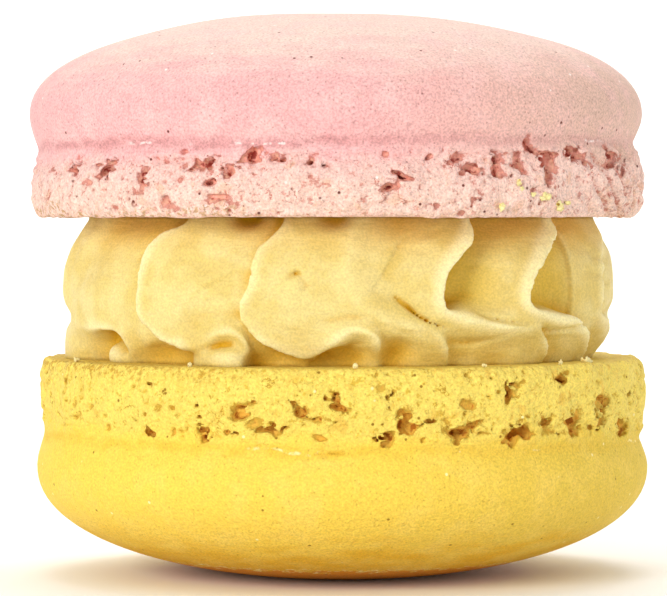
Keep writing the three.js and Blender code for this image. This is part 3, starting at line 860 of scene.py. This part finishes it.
# Gaps under the crests, between one lobe and the next, and at the top, between two crests.
POCKETS = (
    (-41.2, 0.3, 18.9, (2.1, 1.2, 1.2)), (-15.4, 0.1, 18.9, (1.6, 1.0, 1.1)),
    (0.6, 0.3, 18.9, (1.6, 1.2, 1.2)), (12.2, -0.3, 19.6, (1.5, 2.3, 1.8)),
    (-86, 3.3, 20.9, (3, 0.3, 0.6)), (94, 3.4, 20.9, (3, 0.3, 0.6)),
    (-40, 10.9, 19.6, (2.2, 0.9, 1.8)), (-20.2, 10.7, 19.8, (1.6, 1.1, 2.4)),
    (-1.2, 11.0, 19.7, (1.7, 1.3, 1.7)), (15, 11.3, 20.0, (3.0, 2.2, 1.7)),
    (36, 11.0, 19.2, (2.3, 2.0, 2.2)), (60, 11.0, 19.4, (2.2, 1.8, 1.9)),
)
# Folds and tears where the nozzle dragged the cream: depth, half width, points.
GROOVES = (
    (0.8, 0.13, ((11, 5.1), (14.3, 4.1), (17, 3.4), (20, 2.95), (22.4, 2.75))),
    (0.3, 0.5, ((9.5, 5.3), (13, 4.4), (16, 3.7), (19.5, 3.1))),
    (0.45, 0.24, ((29, 3.8), (32.2, 3.4), (35.6, 3.15), (39.8, 2.95), (43.5, 2.8))),
    (0.4, 0.2, ((45.5, 2.6), (51, 2.4), (57, 2.5), (62.5, 2.65))),
    (0.3, 0.25, ((23.2, 1.8), (28, 1.65), (33.8, 1.95), (37, 2.1))),
    (0.2, 0.25, ((-28.5, 1.15), (-25.5, 1.4), (-22, 1.5))),
    (0.2, 0.25, ((1.5, 1.5), (3, 1.7), (5.5, 1.6))),
    (0.3, 0.4, ((-6, 3.3), (-1.5, 3.3), (2, 3.5), (5, 3.35), (8.7, 2.43), (10, 1.5))),
    (0.12, 0.3, ((-9, 4.2), (-5, 3.9), (-1, 3.8))),
    (0.15, 0.3, ((-16.5, 4.9), (-12.5, 5.15), (-9, 5.0))),
    (0.1, 0.25, ((10, 3.1), (13, 2.5), (16, 2.1))),
    (0.08, 0.25, ((12, 2.6), (16, 2.5), (20, 1.9))),
    (0.1, 0.3, ((16, 8.9), (20, 9.3), (24, 9.9))),
    (0.1, 0.3, ((8, 8.0), (12, 8.4), (17, 8.2), (22, 8.7))),
    (0.16, 0.35, ((-33, 3.2), (-27, 3.75), (-20, 3.7))),
    (0.2, 0.4, ((-35, 8.1), (-30, 7.2), (-24.2, 6.6))),
    (0.55, 0.22, ((-10.4, 6.3), (-8.9, 6.55), (-7.2, 6.65))),
    (0.3, 0.25, ((-8.2, 6.4), (-7.0, 6.05), (-6.4, 5.5))),
    (0.2, 0.2, ((-7.6, 5.3), (-6.4, 5.6), (-5.2, 6))),
    (0.35, 0.25, ((-48.2, 7.4), (-47, 7.65), (-45.8, 7.8))),
    (0.25, 0.2, ((-28.6, 4.4), (-27.6, 4.65), (-26.6, 4.7))),
    (0.35, 0.25, ((44, 6.4), (45.2, 6.6), (46.6, 6.6))),
)
# The crests behind: azimuth half way down, and which way they run.
BACK_SLOPES, BACK_SINK = (6, 8.5), 0.3
BACK_CRESTS = (
    (88, CREST_OVER), (117, CREST_OVER), (146, CREST_OVER), (173, CREST_OVER), (201, CREST_CURL),
    (228, CREST_CURL), (253, CREST_CURL),
)
# Folds across each of them: heights at the crest, and the way round and the drop along each fold.
BACK_FOLD_HEIGHTS = (8.2, 6.1, 4.4)
BACK_FOLD = ((5, 0), (11, 0.6), (17, 0.2), (22, -0.4))


def smooth_route(points, steps=7):
    """A curve through points, as a list of closer ones."""
    p = np.array([points[0], *points, points[-1]], dtype=float)
    route = []
    for k in range(1, len(p) - 2):
        a, b, c, d = p[k - 1 : k + 3]
        square, cube = 2 * a - 5 * b + 4 * c - d, 3 * b - a - 3 * c + d
        for t in np.linspace(0, 1, steps, endpoint=False):
            route.append(0.5 * (2 * b + (c - a) * t + square * t**2 + cube * t**3))
    return np.array([*route, p[-1]])


def near_route(grid, route):
    """For each sample of the unrolled side: its distance from a route, on which side of the route
    it is, the value the route has there, and the share of the route's length up to there. Further
    off, all are averaged over a longer stretch of the route, so that bends cast no creases."""
    way = np.stack([np.radians(route[:, 0]) * CREAM_RADIUS, *route[:, 1:].T])
    length = np.concatenate([[0], np.cumsum(np.hypot(*np.diff(way[:2], axis=1)))])
    even = np.linspace(0, length[-1], round(length[-1] / 0.25))
    x, y, value = (np.interp(even, length, row) for row in way)
    middle = (x.min() + x.max()) / 2
    reach = (x.max() - x.min()) / 2 + ROUTE_REACH
    columns, rows, across, up = grid.window(middle / CREAM_RADIUS, 0, reach, 99)
    right = (across + middle)[:, None, None] - x
    above = up[None, :, None] - y
    gap = np.hypot(right, above)
    nearest = gap.min(axis=2, keepdims=True)
    weight = np.exp((nearest - gap) / (0.04 + 0.2 * nearest))
    weight /= weight.sum(axis=2, keepdims=True)
    turned = np.gradient(x) * above - np.gradient(y) * right
    side = np.sign(np.take_along_axis(turned, gap.argmin(axis=2)[:, :, None], axis=2))[:, :, 0]
    distance, value, share = ((a * weight).sum(axis=2) for a in (gap, value, even / length[-1]))
    return columns, distance, side, value, share


def outline(pairs, height):
    heights, radii = smooth_route(pairs).T
    return np.interp(height, heights, radii)


def add_ridge(field, grid, slope, sink, route):
    """Adds a ridge of cream to a field: one side of its crest falls away gently, and the other runs
    back under it. sink: how much further in the crest ends than it starts."""
    columns, distance, side, steepness, share = near_route(grid, route)
    across = (distance * side)[:, :, None]
    crest = outline(CREST_OUTLINE, grid.along) - sink * between(share, 0.7, 0.88)
    above = grid.out - crest[:, :, None]
    steep = (1 + steepness[:, :, None]) / 2
    left = slope - (slope + UNDERCUT) * steep
    right = -UNDERCUT + (slope + UNDERCUT) * steep
    depth = np.clip(-above, 0, 4)
    beside = np.maximum(
        (across - CREST_HALF - left * depth) / np.hypot(1, left),
        (-across - CREST_HALF - right * depth) / np.hypot(1, right),
    )
    beside, above = beside + CREST_ROUND, above + CREST_ROUND
    fin = np.hypot(np.maximum(beside, 0), np.maximum(above, 0))
    fin += np.minimum(np.maximum(beside, above), 0)
    # The nozzle leaves a faint bead along the crest.
    fin += 0.13 * np.exp(-(((distance - 1.5) / 0.6) ** 2))[:, :, None] - CREST_ROUND
    field[columns] = smooth_union(field[columns], fin, FILLET)


def groove(field, grid, deep, width, points):
    """Draws a fold in the cream along points (azimuth, height)."""
    route = smooth_route([(*point, 0) for point in points])
    columns, distance, *_, share = near_route(grid, route)
    pressed = deep * np.sqrt(np.sin(math.pi * share)) * np.exp(-((distance / width) ** 2))
    field[columns] += pressed[:, :, None]


def blob(field, grid, azimuth, height, out, half, fillet, sign=1):
    """Adds a rounded lump to the cream, or with sign -1 presses one out of it."""
    reach = max(half) + fillet + 1
    wide = half[0] + fillet + 1
    columns, rows, across, up = grid.window(math.radians(azimuth), height, wide, reach)
    inner = np.sqrt(
        (across[:, None, None] / half[0]) ** 2
        + (up[None, :, None] / half[1]) ** 2
        + ((grid.out[None, None, :] - out) / half[2]) ** 2
    )
    lump = (inner - 1) * min(half)
    where = np.ix_(columns, rows, range(len(grid.out)))
    if sign > 0:
        field[where] = smooth_union(field[where], lump, fillet)
    else:
        field[where] = -smooth_union(-field[where], lump, fillet)


def make_cream(material):
    rng = np.random.default_rng(5)
    grid = RoundGrid(CREAM_RADIUS, CREAM_STEP, (0, CREAM_HEIGHT), CREAM_DEPTHS)
    valley = outline(VALLEY_OUTLINE, grid.along)[None, :] + 0.35 * grid.noise(rng, 9, 5)
    field = grid.out[None, None, :] - valley[:, :, None]

    crests = [(slope, sink, smooth_route(points)) for slope, sink, points in FRONT_CRESTS]
    for middle, template in BACK_CRESTS:
        way = np.array(template, dtype=float)
        way[:, 0] = middle + rng.uniform(-2, 2) + way[:, 0] * rng.uniform(0.85, 1.05)
        way[1:-1, 1] += rng.uniform(-0.2, 0.2, len(way) - 2)
        crests.append((rng.uniform(*BACK_SLOPES), BACK_SINK, smooth_route(way)))
    for crest in crests:
        add_ridge(field, grid, *crest)
    for azimuth, height, out, half in LOBES:
        blob(field, grid, azimuth, height, out, half, LOBE_FILLET * max(half))
    for azimuth, height, out, half in POCKETS:
        fillet = TOP_POCKET_FILLET if height > CREAM_HEIGHT / 2 else POCKET_FILLET
        blob(field, grid, azimuth, height, out, half, fillet, sign=-1)
    for deep, width, points in GROOVES:
        groove(field, grid, deep, width, points)
    for middle, template in BACK_CRESTS:
        gentle = -1 if template is CREST_OVER else 1
        for height in BACK_FOLD_HEIGHTS:
            height += 0.5 * math.sin(middle * height)
            fold = [(middle + gentle * way, height - drop) for way, drop in BACK_FOLD]
            groove(field, grid, 0.22, 0.4, fold[::gentle])
    field += (0.12 * grid.noise(rng, 3.2, 2.6) + 0.06 * grid.noise(rng, 1.6, 1.3))[:, :, None]
    field += 0.03 * grid.noise(rng, 0.8, 0.8, 0.8)

    azimuth, height, out, quads, index = net(field, grid)
    fold = grid.at(grid.crowding(field, FOLD_REACH), azimuth, height, out) - 0.5
    # The lowest and highest rows of points are brought level with the faces that touch the shells.
    height[index[:, 0, :][index[:, 0, :] >= 0]] = 0
    height[index[:, -1, :][index[:, -1, :] >= 0]] = CREAM_HEIGHT
    across, back = CREAM_SHIFT + out * np.sin(azimuth), -out * np.cos(azimuth)
    points = np.stack([across, back, CREAM_BASE + height], axis=1)
    depth = outline(CREST_OUTLINE, height) - out
    piece = mesh_piece("piped_cream", points, quads.tolist(), material, depth=depth, fold=fold)
    close_ends(piece.data)
    return piece


def close_ends(mesh):
    """Fills the flat faces at the top and bottom of the cream."""
    form = bmesh.new()
    form.from_mesh(mesh)
    middle = (CREAM_BASE + CREAM_TOP) / 2 * MM
    rims = [edge for edge in form.edges if edge.is_boundary]
    for upper in (True, False):
        edges = [edge for edge in rims if (edge.verts[0].co.z > middle) == upper]
        out = (0, 0, 1 if upper else -1)
        bmesh.ops.triangle_fill(form, edges=edges, use_beauty=False, normal=out)
    form.to_mesh(mesh)
    form.free()


# ---- Stray crumbs ----

# Azimuth, height above the cream, and size, mm.
CRUMBS_ON_PINK_FOOT = (
    (33.8, 2.4, 0.45), (34.5, 2.0, 0.4), (39, 1.3, 0.45), (39.9, 1.4, 0.5), (30.2, 0.7, 0.5),
    (43.5, 0.75, 0.5), (45.5, 1.0, 0.4), (36.9, 1.6, 0.3),
)
# Azimuth and size.
CRUMBS_BESIDE_CREAM = ((54.4, 0.6), (46, 0.4), (27.6, 0.35), (2.2, 0.35), (-30, 0.3), (-64, 0.4))
CRUMB_LEVEL = 2.5  # where on the foot they broke off


def make_crumbs(material):
    """Crumbs off the yellow shell: some stuck to the pink foot, others lying beside the cream."""
    rng = np.random.default_rng(17)
    ball = bmesh.new()
    bmesh.ops.create_icosphere(ball, subdivisions=3, radius=1)
    corners = np.array([corner.co for corner in ball.verts])
    ball_faces = np.array([[corner.index for corner in face.verts] for face in ball.faces])
    ball.free()
    places = []
    for azimuth, up, size in CRUMBS_ON_PINK_FOOT:
        places.append((azimuth, PINK.waist_radius + PINK.bulge, CREAM_TOP + up, TOP_SHIFT, size))
    for azimuth, size in CRUMBS_BESIDE_CREAM:
        places.append((azimuth, YELLOW.waist_radius - 0.9, CREAM_BASE + 0.3 * size, 0, size))
    points, faces = [], []
    for azimuth, radius, height, shift, size in places:
        waves = (np.sin(corners @ rng.normal(0, 3.2, 3) + rng.uniform(0, TURN)) for _ in range(5))
        lumpy = sum(0.2 * wave for wave in waves)
        crumb = corners * (1 + lumpy)[:, None] * size / 2 * rng.uniform(0.7, 1.2, 3)
        turn = math.radians(azimuth)
        faces.extend((ball_faces + len(corners) * len(points)).tolist())
        points.append(crumb + [shift + radius * math.sin(turn), -radius * math.cos(turn), height])
    points = np.concatenate(points)
    levels = np.full(len(points), CRUMB_LEVEL)
    return mesh_piece(
        "stray_crumbs", points, faces, material, depth=np.zeros(len(points)), level=levels
    )


# ---- The macaron ----

PINK = Shell(
    height=CROWN_LEVEL - CREAM_TOP,
    dome_radius=22.95,
    widest=7.6,
    waist=5.4,
    waist_radius=22.38,
    bulge=0.6,
    belly=2.4,
    sag=0.6,
    rest_radius=0,
    seed=3,
    wrinkles=((68, 15, 0.5), (-83, 9, 0.1)),
    cracks=(),
    caves=(
        (-56.7, 3.7, 1.7, 0.9), (-45.7, 3.5, 1.3, 1.2), (-36.8, 3.0, 0.9, 1.0),
        (-24.4, 3.8, 1.7, 0.7), (-23.6, 2.4, 1.1, 1.0), (-18.5, 3.3, 0.9, 0.7),
        (-14.5, 4.5, 1.3, 0.9), (-10, 4.1, 0.9, 0.55), (-4.3, 4.0, 0.6, 1.0), (9, 2.0, 1.0, 0.7),
        (11.3, 2.8, 1.1, 0.55), (16.3, 4.1, 0.7, 0.7), (22.1, 4.1, 1.0, 1.1),
        (23.6, 3.3, 1.9, 1.0), (29.6, 4.4, 1.2, 0.7), (29.8, 3.3, 1.3, 1.0), (37.7, 5.1, 1.1, 0.8),
        (35, 3.8, 1.1, 1.4), (41.8, 3.9, 1.6, 1.9), (40.8, 2.6, 0.7, 0.8), (48, 4.7, 2.2, 1.0),
        (61, 4.2, 1.5, 1.5), (69, 2.7, 1.2, 1.2),
    ),
)
YELLOW = Shell(
    height=CREAM_BASE - REST_LEVEL,
    dome_radius=22.87,
    widest=8.05,
    waist=5.8,
    waist_radius=22.35,
    bulge=0.4,
    belly=2.9,
    sag=0.5,
    rest_radius=6.5,
    seed=11,
    wrinkles=((80, 12, 0.14), (-80, 10, 0.08)),
    cracks=((6.2, -28, 3),),
    caves=(
        (-37, 4.95, 1.0, 0.6), (-25.4, 4.8, 0.9, 0.9), (-18.7, 3.15, 2.0, 1.5),
        (-12.4, 4.4, 1.4, 0.8), (-5.6, 3.7, 0.8, 0.7), (-7.7, 3.0, 0.9, 0.8),
        (-1.1, 2.5, 1.3, 0.9), (-1.8, 1.6, 0.7, 0.6), (7.9, 1.8, 0.5, 0.6), (11, 3.9, 1.3, 1.9),
        (7, 5.0, 0.8, 0.7), (20.4, 4.6, 1.2, 1.0), (24, 4.0, 0.9, 0.4), (33, 4.8, 2.4, 1.2),
        (30.7, 1.7, 0.7, 1.0), (44.4, 0.9, 1.0, 1.0), (47.4, 4.2, 2.7, 1.2), (39.6, 3.9, 1.1, 0.6),
        (56.7, 3.9, 2.1, 1.6), (57.4, 2.7, 2.1, 0.9), (65.3, 4.9, 1.4, 0.8),
    ),
)

PINK_TONES = {
    "skin": "#E6ABA9",
    # Duller tone of the side towards +X: painted shade away from the key light
    "browned": "#D8B4A2",
    # Crown tone: paler, partly painted light from above
    "crown": "#EBCABC",
    # Crease tone: painted shade under the dome's lip
    "crease": "#CC918F",
    "flake": "#F6E6E0",
    "worn": "#E3B39B",
    "mottle": "#EEBFB9",
    "foot": "#F3D1C1",
    "foot_shade": "#ECC2B1",
    "upper_foot": "#EFC1B8",
    "bare": "#E6B598",
    "scorched": "#B88E58",
    "pit": "#CF8F80",
    "cave": "#F7B19E",
    # Cave lip, deep cave and nook tones: painted shade in the hollows; the lip tone also draws the
    # cracks
    "cave_edge": "#BC6656",
    "deep_cave": "#DE7E6A",
    "nook": "#9C362E",
    "speck": "#6E3A31",
}
YELLOW_TONES = {
    "skin": "#EFCB4E",
    # Duller tone of the side towards +X: painted shade away from the key light
    "browned": "#DDBE48",
    # Crown tone, on the underside near the floor: painted shade
    "crown": "#E2AE1A",
    # Crease tone: painted shade under the dome's lip
    "crease": "#E4BC40",
    "flake": "#F8EBA8",
    "worn": "#DC8412",
    "mottle": "#F0CF62",
    "foot": "#F2D968",
    "foot_shade": "#EBCD5C",
    "upper_foot": "#F0D462",
    "bare": "#E3B448",
    "scorched": "#C79A34",
    "pit": "#CDA42A",
    "cave": "#EDB848",
    # Cave lip, deep cave and nook tones: painted shade in the hollows; the lip tone also draws the
    # cracks
    "cave_edge": "#B78A1C",
    "deep_cave": "#DC921E",
    "nook": "#A85E08",
    "speck": "#96721A",
}
CRUMB_TONES = YELLOW_TONES | {
    "foot": "#F7E9AA",
    "foot_shade": "#EEDC8E",
    "upper_foot": "#F7E9AA",
    "bare": "#EEDC8E",
}
# The yellow dome is rubbed brown where it rests. The other two never reach their worn level.
pink_meringue, yellow_meringue, crumb_meringue = (
    baked_meringue("baked_almond_meringue_" + kind, *look)
    for kind, *look in (
        ("pink", PINK_TONES, PINK.waist, (8.8, 13.4), PINK.height + 1, (0.78, 1.13)),
        ("yellow", YELLOW_TONES, YELLOW.waist, (11.4, 14.8), YELLOW.height - 1.35, (0.84, 1.09)),
        ("crumb", CRUMB_TONES, YELLOW.waist, (12.1, 15.3), YELLOW.height, (0.87, 1.07)),
    )
)
butter_cream = whipped_butter_cream()

top_shell = make_shell(
    "pink_shell",
    PINK,
    pink_meringue,
    lambda across, back, height: np.stack([across + TOP_SHIFT, back, CREAM_TOP + height], axis=1),
    flip=False,
)
bottom_shell = make_shell(
    "yellow_shell",
    YELLOW,
    yellow_meringue,
    lambda across, back, height: np.stack([across, back, CREAM_BASE - height], axis=1),
    flip=True,
)
cream = make_cream(butter_cream)

for piece, node, slot in (
    (top_shell, "top_shell", "pink_shell"),
    (bottom_shell, "bottom_shell", "yellow_shell"),
    (cream, "filling", "cream"),
):
    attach(piece, "root")
    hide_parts(node)
stray_crumbs = make_crumbs(crumb_meringue)
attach(stray_crumbs, "root")


# ---- Studio ----

FOCAL_LENGTH = 200.0  # mm
SENSOR_WIDTH = 36.0  # mm
CAMERA_DISTANCE = 278.0  # mm, from the axis
CAMERA_ACROSS = -0.68  # mm
CAMERA_TILT = 1.25223  # degrees down from level
CLOSEST_SEEN = 0.01  # m
# The soft lights: place and aim in metres, size of the disc, power in watts, and colour.
MIDDLE = (0, 0, CREAM_BASE * MM)
LIGHTS = {
    "key": ((-0.32, -0.50, 0.19), MIDDLE, 0.26, 2.3, "#FFFDFA"),
    "fill": ((0.50, -0.16, 0.12), MIDDLE, 0.30, 0.5, "#FFFFFF"),
    "backdrop": ((0, 0.30, 0.80), (0, 0.80, 0.25), 0.60, 5.0, "#FFFFFF"),
}
ROOM_LIGHT = 0.68  # even white light from all round


def make_floor():
    """A pale sheet of card that curves up far behind."""
    material, node = blank("matt_white_card")
    tone = lumps(node, millimetres(node), 60, (0.3, 0.7), (0.985, 1.0))
    colour = node("Mix", {0: 1.0, 6: linear("#FBFAF8"), 7: tone}, 2, **TINTED)
    shader = node("BsdfPrincipled", {"Base Color": colour, "Roughness": 0.9})
    node("OutputMaterial", {"Surface": shader})
    # Metres from the middle of the macaron.
    front, back, bend, side, high = -0.8, 0.5, 0.35, 1.2, 1.2
    turns = np.linspace(0.1, math.pi / 2, 14)
    slope = [(front, 0.0), (back, 0.0)]
    slope += [(back + bend * math.sin(turn), bend * (1 - math.cos(turn))) for turn in turns]
    slope.append((back + bend, high))
    points = [(x, y, z + REST_LEVEL * MM) for y, z in slope for x in (-side, side)]
    faces = [(2 * k, 2 * k + 1, 2 * k + 3, 2 * k + 2) for k in range(len(slope) - 1)]
    floor = mesh_piece("floor", np.array(points) / MM, faces, material)


def make_light(name, place, aim, size, power, colour):
    lamp = bpy.data.lights.new(name, "AREA")
    lamp.shape = "DISK"
    lamp.size = size
    lamp.energy = power
    lamp.color = linear(colour)[:3]
    light = bpy.data.objects.new(name, lamp)
    light.location = place
    light.rotation_euler = (Vector(aim) - Vector(place)).to_track_quat("-Z", "Y").to_euler()
    bpy.context.scene.collection.objects.link(light)


def make_studio():
    make_floor()
    for name, look in LIGHTS.items():
        make_light(name, *look)
    world = bpy.data.worlds.new("studio")
    world.use_nodes = True
    room = world.node_tree.nodes["Background"]
    room.inputs["Color"].default_value = linear("#FFFFFF")
    room.inputs["Strength"].default_value = ROOM_LIGHT
    bpy.context.scene.world = world
    bpy.context.scene.view_settings.view_transform = "Standard"

    lens = bpy.data.cameras.new("camera")
    lens.lens = FOCAL_LENGTH
    lens.sensor_width = SENSOR_WIDTH
    lens.clip_start = CLOSEST_SEEN
    camera = bpy.data.objects.new("camera", lens)
    camera.location = (CAMERA_ACROSS * MM, -CAMERA_DISTANCE * MM, CREAM_TOP * MM)
    camera.rotation_euler = (math.radians(90 - CAMERA_TILT), 0, 0)
    bpy.context.scene.collection.objects.link(camera)
    bpy.context.scene.camera = camera


make_studio()
